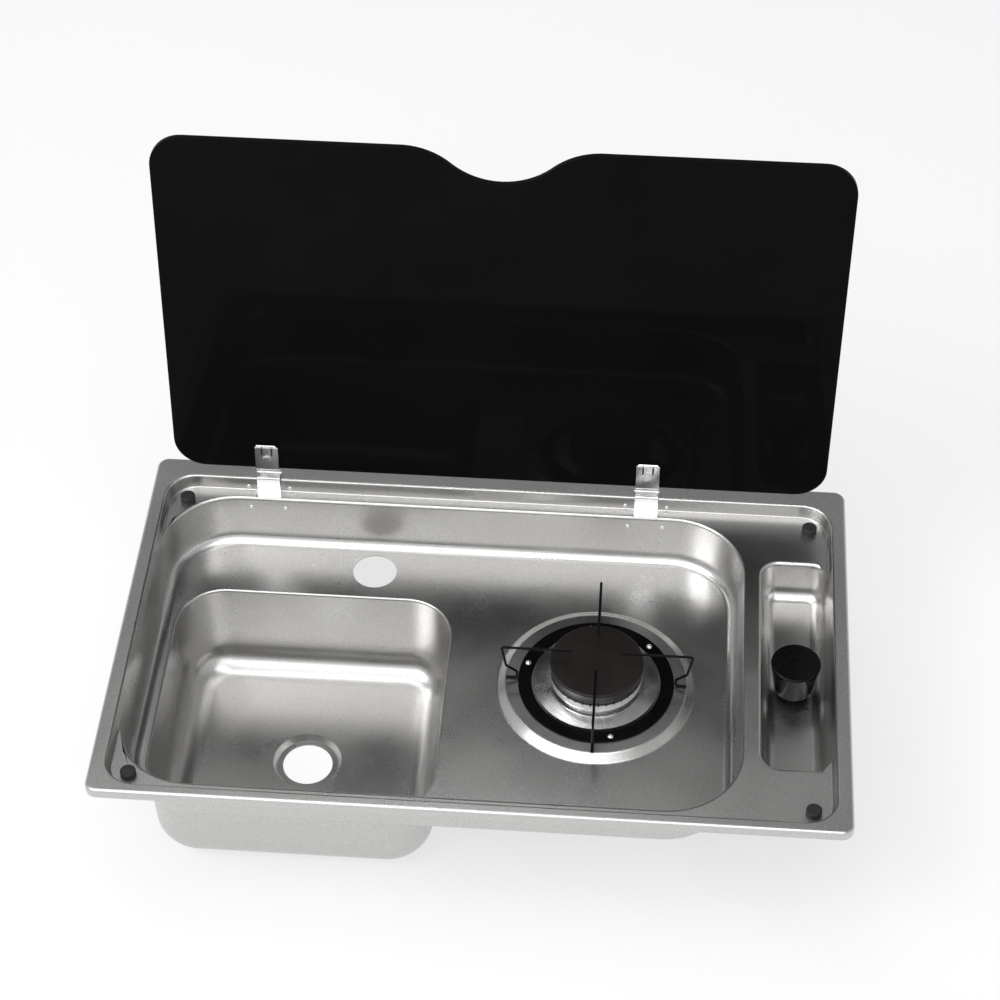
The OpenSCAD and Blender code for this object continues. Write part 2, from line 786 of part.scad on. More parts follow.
module burner_screws() {
    color("white") at_screws() translate([0, 0, ring_t]) {
        translate([0, 0, -ring_t - sheet - cup_flange_t - 1]) cylinder(h = ring_t + sheet + cup_flange_t + 1, r = screw_r);
        difference() {
            translate([0, 0, screw_head_h - dome_r]) sphere(dome_r, $fn = 48);
            translate([0, 0, -2 * dome_r]) cylinder(h = 2 * dome_r, r = 2 * dome_r);
        }
    }
}

module pan_arm(turn) {
    color("#1c1c1c") translate([burner_x, burner_y, 0]) rotate([0, 0, turn]) bent_rod(wire_path, wire_r, wire_bend);
}

// Brass jet under the mixing tube
module gas_jet() {
    color("gold") translate([burner_x, burner_y, jet_z]) difference() {
        union() {
            translate([0, 0, 1 + snug]) cylinder(h = 3, r = jet_r, $fn = 6);
            translate([0, 0, 4]) cylinder(h = 2, r1 = 3, r2 = 2);
            translate([0, 0, -5]) cylinder(h = 6 + 2 * snug, r = 2.5);
        }
        translate([0, 0, -6]) cylinder(h = 11, r = 1.2);
        translate([0, 0, 4]) cylinder(h = 3, r = 0.4);
    }
}

module jet_holder() {
    color("goldenrod") translate([burner_x, burner_y, 0]) difference() {
        union() {
            translate([0, 0, cup_z - holder_h]) cylinder(h = holder_h, r = holder_r);
            translate([0, 0, cup_z - 1]) cylinder(h = jet_z + 1 - cup_z + 1, r = stub_r);
            translate([0, 0, feed_z]) rotate([0, 90, feed_turn]) cylinder(h = holder_reach, r = stub_r);
        }
        translate([0, 0, feed_z - 4]) cylinder(h = 34, r = 2.5 + snug);
        translate([0, 0, feed_z]) rotate([0, 90, feed_turn]) cylinder(h = holder_reach + over, r = 2);
    }
}

// Flame sensor beside the burner head, with its fixing nut
module thermocouple() {
    color("peru") translate([probe_x, probe_y, 0]) {
        translate([0, 0, probe_end]) cylinder(h = probe_top - 3 - probe_end, r = probe_r);
        translate([0, 0, probe_top - 3]) cylinder(h = 3, r1 = probe_r, r2 = 0.7);
        translate([0, 0, under_plinth - cup_flange_t - 3 - snug]) cylinder(h = 3, r = 3.6, $fn = 6);
    }
}

module thermocouple_lead() {
    low = valve_z - 16;
    color("peru") bent_rod([[probe_x, probe_y, probe_end - snug], [probe_x, probe_y, low],
        [knob_x, knob_y, low], [knob_x, knob_y, valve_z - 7 - 2 * snug]], lead_r, 7);
}

// Magnet unit screwed into the bottom of the valve
module magnet_unit() {
    color("gainsboro") translate([knob_x, knob_y, 0]) {
        translate([0, 0, valve_z - 4]) cylinder(h = magnet_z - valve_z + 4, r = magnet_r - snug);
        translate([0, 0, valve_z - 7 - snug]) cylinder(h = 7, r = 9, $fn = 6);
    }
}

module magnet_stem() {
    keeper_z = magnet_z + knob_travel + gap;
    color("silver") translate([knob_x, knob_y, 0]) {
        translate([0, 0, keeper_z]) cylinder(h = stem_top - keeper_z, r = stem_r);
        translate([0, 0, port_z - gap - disc_t]) cylinder(h = disc_t, r = disc_r);
        translate([0, 0, keeper_z]) cylinder(h = 1, r = 4);
    }
}

module burner_pipe() {
    start = knob_x - stub_reach - loose;
    reach = holder_reach + loose;
    color("silver") bent_rod([[start, knob_y, outlet_z], [drop_x, knob_y, outlet_z], [drop_x, knob_y, feed_z],
        [burner_x + reach * cos(feed_turn), burner_y + reach * sin(feed_turn), feed_z]], feed_r, 7);
}

// Union nut along +X: over the stub on its left side and round the pipe on its right
module union_nut(stub, pipe, corners) {
    difference() {
        translate([-5, 0, 0]) rotate([0, 90, 0]) cylinder(h = nut_len, r = corners, $fn = 6);
        translate([-5 - over, 0, 0]) rotate([0, 90, 0]) cylinder(h = 5 + over + loose, r = stub + snug);
        rotate([0, 90, 0]) cylinder(h = nut_len, r = pipe + snug);
    }
}

module burner_pipe_nuts() {
    color("goldenrod") {
        translate([knob_x - stub_reach, knob_y, outlet_z]) mirror([1, 0, 0]) union_nut(stub_r, feed_r, 8);
        translate([burner_x, burner_y, feed_z]) rotate([0, 0, feed_turn]) translate([holder_reach, 0, 0])
            union_nut(stub_r, feed_r, 8);
    }
}

// Gas supply tube with a stop bead behind its nut
module inlet_pipe() {
    start = knob_y + stub_reach + loose;
    color("silver") translate([knob_x, start, intake_z]) rotate([-90, 0, 0]) difference() {
        union() {
            cylinder(h = inlet_end - start, r = inlet_r);
            translate([0, 0, bead_at]) cylinder(h = bead_t, r = inlet_r + bead_rise);
        }
        translate([0, 0, -over]) cylinder(h = inlet_end - start + 2 * over, r = inlet_r - 1);
    }
}

module inlet_nut() {
    color("goldenrod") translate([knob_x, knob_y + stub_reach, intake_z]) rotate([0, 0, 90])
        union_nut(stub_r, inlet_r, 8.5);
}

module valve_body() {
    color("goldenrod") translate([knob_x, knob_y, 0]) difference() {
        union() {
            translate([0, 0, valve_z]) cylinder(h = cover_z - valve_z, r = valve_r);
            translate([0, 0, outlet_z]) rotate([0, -90, 0]) cylinder(h = stub_reach, r = stub_r);
            translate([0, 0, intake_z]) rotate([-90, 0, 0]) cylinder(h = stub_reach, r = stub_r);
        }
        translate([0, 0, plug_top_z]) cylinder(h = cover_z - plug_top_z + over, r = plug_r + 0.3);
        translate([0, 0, plug_z]) cylinder(h = plug_h, r1 = plug_r - plug_taper + run, r2 = plug_r + run);
        translate([0, 0, port_z - over]) cylinder(h = seat_wall + 2 * over, r = seat_r);
        translate([0, 0, valve_z - over]) cylinder(h = port_z - valve_z + over, r = magnet_r);
        translate([0, 0, outlet_z]) rotate([0, -90, 0]) cylinder(h = stub_reach + over, r = 2);
        translate([0, 0, intake_z]) rotate([-90, 0, 0]) cylinder(h = stub_reach + over, r = 3);
    }
}

// Cover with the threaded neck that passes the trough floor
module valve_cover() {
    color("goldenrod") translate([knob_x, knob_y, 0]) difference() {
        union() {
            translate([0, 0, cover_z]) cylinder(h = cover_t, r = valve_r);
            translate([0, 0, cover_z]) cylinder(h = trough_z + neck_rise - cover_z, r = valve_neck_r);
        }
        translate([0, 0, cover_z - over]) cylinder(h = 20, r = spindle_r + run);
    }
}

module valve_nut() {
    color("lightgray") translate([knob_x, knob_y, trough_z]) difference() {
        cylinder(h = neck_rise - 0.2, r = valve_neck_r + 2.5, $fn = 6);
        translate([0, 0, -over]) cylinder(h = neck_rise + 2 * over, r = valve_neck_r + snug);
    }
}

// Return spring: one unbroken coil swept along a helix
module valve_spring() {
    low = plug_top_z + spring_wire + snug;
    high = collar_z - spring_wire - snug;
    rings = spring_turns * spring_steps;
    points = [for (i = [0:rings], k = [0:5])
        let (a = i * 360 / spring_steps, r = spring_r + spring_wire * cos(k * 60))
        [r * cos(a), r * sin(a), low + (high - low) * i / rings + spring_wire * sin(k * 60)]];
    sides = [for (i = [0:rings - 1], k = [0:5])
        let (a = i * 6 + k, b = i * 6 + (k + 1) % 6) each [[a, b + 6, b], [a, a + 6, b + 6]]];
    ends = [[0, 1, 2, 3, 4, 5], [for (k = [5:-1:0]) rings * 6 + k]];
    color("silver") translate([knob_x, knob_y, 0]) polyhedron(points, concat(sides, ends));
}

// Tapered plug; its port faces back while the tap is off
module valve_plug() {
    color("khaki") translate([knob_x, knob_y, 0]) difference() {
        translate([0, 0, plug_z]) cylinder(h = plug_h, r1 = plug_r - plug_taper, r2 = plug_r);
        translate([0, 0, plug_z - over]) cylinder(h = plug_h + 2 * over, r = spindle_r + run);
        translate([0, 0, outlet_z]) rotate([-90, 0, 0]) cylinder(h = plug_r + over, r = 2);
    }
}

module knob() {
    color("#151515") translate([knob_x, knob_y, knob_z]) difference() {
        rotate_extrude() {
            polygon([[0, 0], [knob_foot_r, 0], [knob_r, knob_h - knob_edge], [0, knob_h - knob_edge]]);
            translate([0, knob_h - knob_edge]) square([knob_r - knob_edge, knob_edge]);
            intersection() {
                translate([knob_r - knob_edge, knob_h - knob_edge]) circle(knob_edge);
                translate([knob_r - knob_edge, knob_h - knob_edge]) square(knob_edge);
            }
        }
        difference() {
            translate([0, 0, -over]) cylinder(h = knob_h - 3 * knob_wall + over, r1 = knob_foot_r - knob_wall, r2 = knob_r - 2 * knob_wall);
            translate([0, 0, -2 * over]) cylinder(h = knob_h, r = knob_boss_r);
        }
        translate([0, 0, -over]) cylinder(h = knob_h - 3 * knob_wall + over, r = spindle_r + snug);
    }
}

module spindle() {
    low = plug_z - 1;
    color("gainsboro") translate([knob_x, knob_y, 0]) {
        translate([0, 0, low]) cylinder(h = knob_z + knob_h - 3 * knob_wall - snug - low, r = spindle_r);
        translate([0, 0, collar_z]) cylinder(h = collar_t, r = collar_r);
    }
}

// Turns a lid piece from closed, as it is drawn, to open
module opened() {
    translate([0, pin_y, pin_z]) rotate([-lid_turn, 0, 0]) translate([0, -pin_y, -pin_z]) children();
}

// Outline of the finger notch, measured from the middle of the lid's front edge. The side arcs are a
// touch larger than the middle one, so that each crosses it and the front edge in one clear point.
module notch_plan() {
    turn_r = (notch_w * notch_w + notch_h * notch_h) / (4 * notch_h);
    meet = [notch_w / 2, notch_h / 2];
    step = 3 * [notch_w, 2 * turn_r - notch_h] / (2 * turn_r);
    inner = meet - step;
    outer = meet + step;
    difference() {
        union() {
            translate([0, notch_h - turn_r]) circle(turn_r);
            polygon([[-notch_w, -over], [notch_w, -over], [notch_w, over], outer, inner,
                [-inner[0], inner[1]], [-outer[0], outer[1]], [-notch_w, over]]);
        }
        for (s = [-1, 1]) translate([s * notch_w, turn_r]) circle(turn_r + swell);
    }
}

module lid_glass() {
    front = glass_back - lid_d;
    color("#101214") opened() difference() {
        translate([0, 0, under_glass]) linear_extrude(lid_t) difference() {
            round_plan(-lid_w / 2, lid_w / 2, front, glass_back, lid_r);
            translate([0, front]) notch_plan();
        }
        for (x = [hinge_left, hinge_right]) translate([x, clamp_screw_y, under_glass - over])
            cylinder(h = lid_t + 2 * over, r = clamp_screw_r + 1);
    }
}

// Clamp of the lid: plates under and over the glass, web, arm and the middle barrel
module lid_clamp(x) {
    low = under_glass - pad - plate;
    high = over_glass + pad;
    color("silver") opened() difference() {
        union() {
            intersection() {
                pulled(hinge_w, x) {
                    translate([lip_bend_y, low + plate]) rotate(lip_turn) translate([-lip_l, -plate])
                        square([lip_l, plate]);
                    plate_plan(lip_bend_y, web_y + plate - bend_out, low, low + plate);
                    bend_plan(web_y + plate - bend_out, low + bend_out, -90);
                    plate_plan(web_y, web_y + plate, low + bend_out, arm_z + plate - bend_out);
                    plate_plan(glass_back - clamp_back_reach, web_y + plate / 2, high, high + plate);
                    bend_plan(web_y + bend_out, arm_z + plate - bend_out, 90);
                    plate_plan(web_y + bend_out, pin_y + heel, arm_z, arm_z + plate);
                }
                translate([x, 0, low - lip_drop - plate]) linear_extrude(30 + lip_drop) clamp_outline();
            }
            pulled(knuckle, x) translate([pin_y, pin_z]) circle(barrel_r);
        }
        translate([x, pin_y, pin_z]) rotate([0, 90, 0]) cylinder(h = knuckle + 2, r = pin_r + run, center = true);
        translate([x, clamp_screw_y, low - over]) cylinder(h = high + plate - low + 2 * over, r = clamp_screw_r + snug);
        for (s = [-1, 1]) translate([x + s * clamp_slot_x - clamp_slot_w / 2, lip_bend_y + 1, low - over])
            cube([clamp_slot_w, clamp_slot_end - lip_bend_y - 1, plate + 2 * over]);
    }
}

module clamp_outline() {
    free = lip_bend_y - lip_l * cos(lip_turn) - over;
    half = hinge_w / 2;
    polygon([[-half + clamp_chamfer, free], [half - clamp_chamfer, free], [half, free + clamp_chamfer],
        [half, arm_wide_end], [knuckle / 2, arm_wide_end], [knuckle / 2, pin_y + heel],
        [-knuckle / 2, pin_y + heel], [-knuckle / 2, arm_wide_end], [-half, arm_wide_end],
        [-half, free + clamp_chamfer]]);
}

// Two soft pads per clamp, one on each face of the glass
module clamp_pads(x) {
    color("#222222") opened() difference() {
        union() {
            translate([x - hinge_w / 2, lip_bend_y, under_glass - pad]) cube([hinge_w, clamp_reach - lip_l, pad]);
            translate([x - hinge_w / 2, glass_back - clamp_back_reach, over_glass])
                cube([hinge_w, clamp_back_reach, pad]);
        }
        translate([x, clamp_screw_y, under_glass - 2 * over]) cylinder(h = lid_t + 4 * over, r = clamp_screw_r + 0.5);
    }
}

module clamp_screw(x) {
    head_z = under_glass - pad - plate;
    nut_z = over_glass + pad + plate;
    color("gainsboro") opened() translate([x, clamp_screw_y, 0]) {
        translate([0, 0, head_z]) cylinder(h = nut_z + clamp_nut_h - head_z, r = clamp_screw_r);
        translate([0, 0, head_z - clamp_head_h]) cylinder(h = clamp_head_h, r1 = clamp_head_r - 0.8, r2 = clamp_head_r);
    }
}

module clamp_nuts() {
    nut_z = over_glass + pad + plate;
    color("lightgray") opened() for (x = [hinge_left, hinge_right]) translate([x, clamp_screw_y, nut_z]) difference() {
        cylinder(h = clamp_nut_h - 0.4, r = clamp_nut_r, $fn = 6);
        translate([0, 0, -over]) cylinder(h = clamp_nut_h + 2 * over, r = clamp_screw_r + snug);
    }
}

steel_top();
rim_seal();
bumper(-bumper_x, bumper_front);  // bumper_front_left
bumper(bumper_x, bumper_front);  // bumper_front_right
bumper(-bumper_x, bumper_back);  // bumper_back_left
bumper(bumper_x, bumper_back);  // bumper_back_right
hinge_bracket(hinge_left);  // hinge_bracket_left
hinge_bracket(hinge_right);  // hinge_bracket_right
hinge_pin(hinge_left);  // hinge_pin_left
hinge_pin(hinge_right);  // hinge_pin_right
hinge_backing(hinge_left);  // hinge_backing_left
hinge_backing(hinge_right);  // hinge_backing_right
hinge_rivets();
burner_cup();
burner_head();
burner_cap();
burner_ring();
burner_screws();
pan_arm(0);  // pan_arm_right
pan_arm(90);  // pan_arm_back
pan_arm(180);  // pan_arm_left
pan_arm(270);  // pan_arm_front
gas_jet();
jet_holder();
thermocouple();
thermocouple_lead();
magnet_unit();
burner_pipe();
burner_pipe_nuts();
inlet_pipe();
inlet_nut();
valve_body();
valve_cover();
valve_nut();
valve_spring();
valve_plug();
magnet_stem();
knob();
spindle();
lid_glass();
lid_clamp(hinge_left);  // lid_clamp_left
lid_clamp(hinge_right);  // lid_clamp_right
clamp_pads(hinge_left);  // clamp_pads_left
clamp_pads(hinge_right);  // clamp_pads_right
clamp_screw(hinge_left);  // clamp_screw_left
clamp_screw(hinge_right);  // clamp_screw_right
clamp_nuts();
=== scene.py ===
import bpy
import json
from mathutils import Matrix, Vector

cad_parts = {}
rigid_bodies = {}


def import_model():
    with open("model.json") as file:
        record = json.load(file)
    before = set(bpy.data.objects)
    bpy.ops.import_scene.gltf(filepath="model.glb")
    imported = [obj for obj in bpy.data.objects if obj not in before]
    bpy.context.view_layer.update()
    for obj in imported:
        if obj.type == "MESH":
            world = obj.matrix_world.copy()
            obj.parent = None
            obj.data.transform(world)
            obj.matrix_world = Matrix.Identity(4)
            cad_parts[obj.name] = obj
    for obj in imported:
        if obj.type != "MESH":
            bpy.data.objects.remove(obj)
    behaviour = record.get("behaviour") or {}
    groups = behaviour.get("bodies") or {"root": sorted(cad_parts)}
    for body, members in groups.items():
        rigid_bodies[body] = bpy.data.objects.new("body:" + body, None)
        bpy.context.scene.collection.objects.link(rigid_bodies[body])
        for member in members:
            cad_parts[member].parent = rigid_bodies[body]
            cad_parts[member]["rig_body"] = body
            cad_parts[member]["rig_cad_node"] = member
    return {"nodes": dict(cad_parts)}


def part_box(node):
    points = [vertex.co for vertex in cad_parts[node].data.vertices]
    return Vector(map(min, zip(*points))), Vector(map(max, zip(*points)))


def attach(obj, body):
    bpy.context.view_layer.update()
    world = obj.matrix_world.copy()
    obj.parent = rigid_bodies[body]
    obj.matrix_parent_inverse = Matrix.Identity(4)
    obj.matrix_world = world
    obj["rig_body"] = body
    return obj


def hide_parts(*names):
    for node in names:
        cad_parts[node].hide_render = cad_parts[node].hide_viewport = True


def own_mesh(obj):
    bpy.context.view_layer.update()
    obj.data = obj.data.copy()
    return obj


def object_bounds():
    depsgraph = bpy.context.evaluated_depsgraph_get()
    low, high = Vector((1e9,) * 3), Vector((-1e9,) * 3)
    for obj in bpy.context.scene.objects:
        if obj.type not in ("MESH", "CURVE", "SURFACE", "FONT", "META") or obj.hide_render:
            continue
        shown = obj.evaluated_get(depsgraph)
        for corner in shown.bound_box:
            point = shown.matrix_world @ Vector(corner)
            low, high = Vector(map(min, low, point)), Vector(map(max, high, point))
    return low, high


bl_info = {
    "name": "Hob and sink unit",
    "version": (1, 0, 0),
    "blender": (4, 5, 0),
    "location": "View3D > Sidebar > Hob and sink",
    "description": "Finishes a drop-in hob and sink unit: rounded edges, steel, glass, enamel, "
                   "brass and a plain studio",
    "category": "Object",
}

import json
import math

import bmesh
import bpy
from mathutils import Matrix, Vector

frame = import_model()
bpy.context.view_layer.update()
CAD_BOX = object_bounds()

# Places on the tray, in metres, as the part's source has them
DECK = -0.004
SHEET = 0.0008
PLINTH_TOP = -0.0468
WELL_FLOOR = -0.052
PLINTH_TOP_RADIUS = 0.0756
PLINTH_FOOT_RADIUS = 0.0827
DECK_LOW = Vector((-0.284, -0.172))
DECK_HIGH = Vector((0.284, 0.1612))
DECK_CORNER = 0.022
DECK_STRIP_X = 0.221
BUMPER_X = 0.2695
BUMPERS_Y = (-0.158, 0.146)

# How an edge of the tray is known to be one that is rolled
SAME_HEIGHT = 3e-5
SAME_RADIUS = 1e-4
LEVEL = 2e-5
SHARP = math.radians(20)
BUMPER_ROOM = 0.004
WALL_SHARE = 0.5
ROLL_SEGMENTS = 6

# Merging and rounding; shading angles are in degrees
MERGE_DISTANCE = 2e-6
FLAT_ANGLE = math.radians(0.2)
ROUNDED_ANGLE = math.radians(40)
SMOOTH = 30
TRAY_SMOOTH = 35
COIL_SMOOTH = 60
RIVET_ROUNDING = 2

# Materials
IOR = 1.5
NOISE_ROUGHNESS = 0.55
NOISE_BAND = (0.3, 0.7)
NARROW_BAND = (0.35, 0.65)
RUB_STRETCH = (1.0, 1.0, 0.15)
WAVE_RATE = 20.0

# Studio, in metres, and the camera that was fitted to the photo
FLOOR_SIZE = 24.0
FLOOR_STEPS = 12
FLOOR_GAP = 0.0003
FLOOR_GLOW = 0.62
SKY_LEAN = 0.45
SKY_SHADES = [(0.0, 1.0), (0.25, 0.76), (0.8, 0.45)]
CEILING_FROM = 0.95
SOFT_LIGHT = 0.44
CAMERA_PLACE = (0.1124017, -1.4021197, 1.609162)
CAMERA_RIGHT = (0.9974635638, 0.0711769889, 0.0005244859)
CAMERA_UP = (-0.0513550811, 0.7145411161, 0.6977059903)
CAMERA_BACK = (0.0492858448, -0.6959632386, 0.7163840283)
CAMERA_SENSOR = 36.0
CAMERA_LENS = 93.064
CAMERA_CLIP = (0.05, 60.0)


# Helpers: choosing, copying and finishing meshes

def choose(*objects):
    """Selects only these objects, in object mode."""
    if bpy.context.object and bpy.context.object.mode != "OBJECT":
        bpy.ops.object.mode_set(mode="OBJECT")
    bpy.ops.object.select_all(action="DESELECT")
    for thing in objects:
        thing.select_set(True)
    if objects:
        bpy.context.view_layer.objects.active = objects[0]


def merged_copy(part):
    """A copy of a CAD node with its loose triangles merged and its flat faces joined."""
    choose(frame["nodes"][part])
    bpy.ops.object.duplicate()
    piece = bpy.context.object
    piece.parent = None
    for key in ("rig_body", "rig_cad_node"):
        del piece[key]
    piece.name = piece.data.name = "dressed_" + part
    choose(piece)
    bpy.ops.mesh.customdata_custom_splitnormals_clear()
    bpy.ops.object.mode_set(mode="EDIT")
    bpy.ops.mesh.select_mode(type="FACE")
    bpy.ops.mesh.select_all(action="SELECT")
    bpy.ops.mesh.remove_doubles(threshold=MERGE_DISTANCE)
    bpy.ops.mesh.dissolve_limited(angle_limit=FLAT_ANGLE)
    bpy.ops.object.mode_set(mode="OBJECT")
    return piece


def shade(piece, smooth=SMOOTH):
    """Smooth shading that keeps flat faces flat."""
    choose(piece)
    bpy.ops.object.shade_smooth_by_angle(angle=math.radians(smooth))
    even = piece.modifiers.new("even shading", "WEIGHTED_NORMAL")
    even.keep_sharp = True
    bpy.ops.object.modifier_apply(modifier=even.name)


def round_edges(piece, width, segments):
    """Rounds the sharp edges of a piece."""
    bevel = piece.modifiers.new("rounded edges", "BEVEL")
    bevel.width = width
    bevel.segments = segments
    bevel.limit_method = "ANGLE"
    bevel.angle_limit = ROUNDED_ANGLE
    bevel.miter_outer = "MITER_ARC"
    choose(piece)
    bpy.ops.object.modifier_apply(modifier=bevel.name)


def dress(piece, material, body, part):
    """Gives a piece its material and body, and hides the CAD node it stands for."""
    piece.data.materials.clear()
    piece.data.materials.append(material)
    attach(piece, body)
    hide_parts(part)


def rounded(part, width, material, body, segments=2):
    """Puts a copy with rounded edges in a CAD node's place."""
    piece = merged_copy(part)
    round_edges(piece, width, segments)
    shade(piece)
    dress(piece, material, body, part)


def paint(material, *parts):
    """Gives CAD nodes a finished material."""
    for part in parts:
        for place in frame["nodes"][part].material_slots:
            place.material = material


# The tray's rolled edges

def burner_centre():
    low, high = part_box("burner_cap")
    return (low + high) / 2


def deck_room(x, y):
    """Distance from a point on the deck to the curve at the foot of the recess wall."""
    middle = (DECK_LOW + DECK_HIGH) / 2
    half = (DECK_HIGH - DECK_LOW) / 2
    corner = Vector((DECK_CORNER, DECK_CORNER))
    out = Vector((abs(x - middle.x), abs(y - middle.y))) - half + corner
    beyond = Vector((max(out.x, 0.0), max(out.y, 0.0)))
    return DECK_CORNER - beyond.length - min(max(out.x, out.y), 0.0)


def edge_radius(edge, sizes, burner):
    """The rolled radius that an edge of the tray gets: nothing if it isn't a rolled edge."""
    start, end = (vertex.co for vertex in edge.verts)
    x, y, z = (start + end) / 2
    if abs(start.z - end.z) > LEVEL or edge.calc_face_angle(0.0) < SHARP:
        return 0.0

    ring = math.hypot(x - burner.x, y - burner.y)
    on_top = abs(z - PLINTH_TOP) < SAME_HEIGHT and abs(ring - PLINTH_TOP_RADIUS) < SAME_RADIUS
    on_foot = abs(z - WELL_FLOOR) < SAME_HEIGHT and abs(ring - PLINTH_FOOT_RADIUS) < SAME_RADIUS
    if (on_top and edge.is_convex) or (on_foot and not edge.is_convex):
        return sizes.plinth

    over = abs(z - DECK) < SAME_HEIGHT and edge.is_convex
    under = abs(z - DECK + SHEET) < SAME_HEIGHT and not edge.is_convex
    near_bumper = any(math.hypot(abs(x) - BUMPER_X, y - side) < BUMPER_ROOM for side in BUMPERS_Y)
    if near_bumper or not (over or under):
        return 0.0
    full = sizes.trough if x > DECK_STRIP_X else sizes.well
    radius = full * min(1.0, max(0.0, deck_room(x, y) / full - WALL_SHARE))
    return radius if over else max(0.0, radius - SHEET)


def roll_tray_edges(piece, sizes):
    """Rolls the edges where the deck turns down into well and trough, and the plinth's edges."""
    burner = burner_centre()
    widest = max(sizes.trough, sizes.well)
    work = bmesh.new()
    work.from_mesh(piece.data)
    share = work.edges.layers.float.new("bevel_weight_edge")
    for edge in work.edges:
        edge[share] = edge_radius(edge, sizes, burner) / widest
    work.to_mesh(piece.data)
    work.free()
    bevel = piece.modifiers.new("rolled edges", "BEVEL")
    bevel.width = widest
    bevel.segments = ROLL_SEGMENTS
    bevel.limit_method = "WEIGHT"
    bevel.use_clamp_overlap = False
    choose(piece)
    bpy.ops.object.modifier_apply(modifier=bevel.name)


# Materials

def node(tree, kind, inputs=None, **settings):
    """A new shader node with its settings and the values of its inputs."""
    made = tree.nodes.new(kind)
    for key, value in settings.items():
        setattr(made, key, value)
    for key, value in (inputs or {}).items():
        made.inputs[key].default_value = value
    return made


def surface(name, metallic=0.0, roughness=0.5, level=0.5):
    """A new material with its shader, and its object coordinates."""
    material = bpy.data.materials.new(name)
    material.use_nodes = True
    tree = material.node_tree
    shader = tree.nodes["Principled BSDF"]
    shader.inputs["Metallic"].default_value = metallic
    shader.inputs["Roughness"].default_value = roughness
    shader.inputs["IOR"].default_value = IOR
    shader.inputs["Specular IOR Level"].default_value = level
    place = node(tree, "ShaderNodeTexCoord").outputs["Object"]
    return material, tree, shader, place


def cloud(tree, place, scale, detail, stretch=None):
    """Fractal noise over the object's own coordinates; stretch lengthens it along an axis."""
    if stretch:
        mapped = node(tree, "ShaderNodeMapping", {"Scale": stretch})
        tree.links.new(place, mapped.inputs["Vector"])
        place = mapped.outputs["Vector"]
    noise = node(tree, "ShaderNodeTexNoise",
                 {"Scale": scale, "Detail": detail, "Roughness": NOISE_ROUGHNESS})
    tree.links.new(place, noise.inputs["Vector"])
    return noise.outputs["Fac"]


def shades(tree, factor, stops):
    """A colour ramp; stops are (place, grey or colour)."""
    ramp = node(tree, "ShaderNodeValToRGB")
    for _ in stops[2:]:
        ramp.color_ramp.elements.new(0.5)
    for element, (at, colour) in zip(ramp.color_ramp.elements, stops):
        rgb = (colour,) * 3 if isinstance(colour, float) else tuple(colour)
        element.position = at
        element.color = rgb + (1.0,)
    tree.links.new(factor, ramp.inputs["Fac"])
    return ramp.outputs["Color"]


def tone(colour, share):
    """A colour made darker or lighter."""
    return tuple(min(1.0, value * share) for value in colour[:3])


def tint(tree, shader, pattern, colour, shares, band=NOISE_BAND):
    """Runs the colour along a pattern, through these shares of it, evenly over the band."""
    low, high = band
    step = (high - low) / (len(shares) - 1)
    stops = [(low + step * count, tone(colour, share)) for count, share in enumerate(shares)]
    tree.links.new(shades(tree, pattern, stops), shader.inputs["Base Color"])


def gloss(tree, shader, pattern, rough, least, most):
    """Runs the roughness along a pattern, between two shares of it."""
    low, high = NOISE_BAND
    spread = node(tree, "ShaderNodeMapRange", {"From Min": low, "From Max": high,
                                               "To Min": rough * least, "To Max": rough * most})
    tree.links.new(pattern, spread.inputs["Value"])
    tree.links.new(spread.outputs["Result"], shader.inputs["Roughness"])


def relief(tree, shader, pattern, strength, distance):
    """Raises the surface by a pattern; distance is its height in metres."""
    bump = node(tree, "ShaderNodeBump", {"Strength": strength, "Distance": distance})
    tree.links.new(pattern, bump.inputs["Height"])
    tree.links.new(bump.outputs["Normal"], shader.inputs["Normal"])


def sheet_metal(name, colour, rough, grain, depth):
    """Sheet metal: fine grain in colour and relief, slow changes of gloss."""
    material, tree, shader, place = surface(name, metallic=1.0)
    fine = cloud(tree, place, scale=1.0 / grain, detail=1.0)
    slow = cloud(tree, place, scale=14.0, detail=4.0)
    tint(tree, shader, fine, colour, shares=(0.87, 1.0, 1.07))
    gloss(tree, shader, slow, rough, least=0.88, most=1.12)
    relief(tree, shader, fine, strength=0.35, distance=depth)


def turned_metal(name, colour, rough, centre, step):
    """Metal turned on a lathe: rings about an upright axis, two pi times the step apart."""
    material, tree, shader, place = surface(name, metallic=1.0)
    centred = node(tree, "ShaderNodeMapping", {"Location": (-centre.x, -centre.y, 0.0)})
    tree.links.new(place, centred.inputs["Vector"])
    rings = node(tree, "ShaderNodeTexWave",
                 {"Scale": 1.0 / step / WAVE_RATE, "Distortion": 0.6, "Detail": 2.0,
                  "Detail Scale": 2.0}, wave_type="RINGS", rings_direction="Z")
    tree.links.new(centred.outputs["Vector"], rings.inputs["Vector"])
    slow = cloud(tree, place, scale=60.0, detail=3.0)
    tint(tree, shader, slow, colour, shares=(0.9, 1.05))
    gloss(tree, shader, slow, rough, least=0.85, most=1.2)
    relief(tree, shader, rings.outputs["Fac"], strength=0.25, distance=0.00003)


def enamel(name, colour, rough, peel, level):
    """Fired enamel: slightly uneven gloss with a soft orange peel."""
    material, tree, shader, place = surface(name, roughness=rough, level=level)
    bumps = cloud(tree, place, scale=1.0 / peel, detail=3.0)
    slow = cloud(tree, place, scale=40.0, detail=3.0)
    tint(tree, shader, slow, colour, shares=(0.85, 1.2))
    gloss(tree, shader, slow, rough, least=0.85, most=1.15)
    relief(tree, shader, bumps, strength=0.2, distance=0.00004)


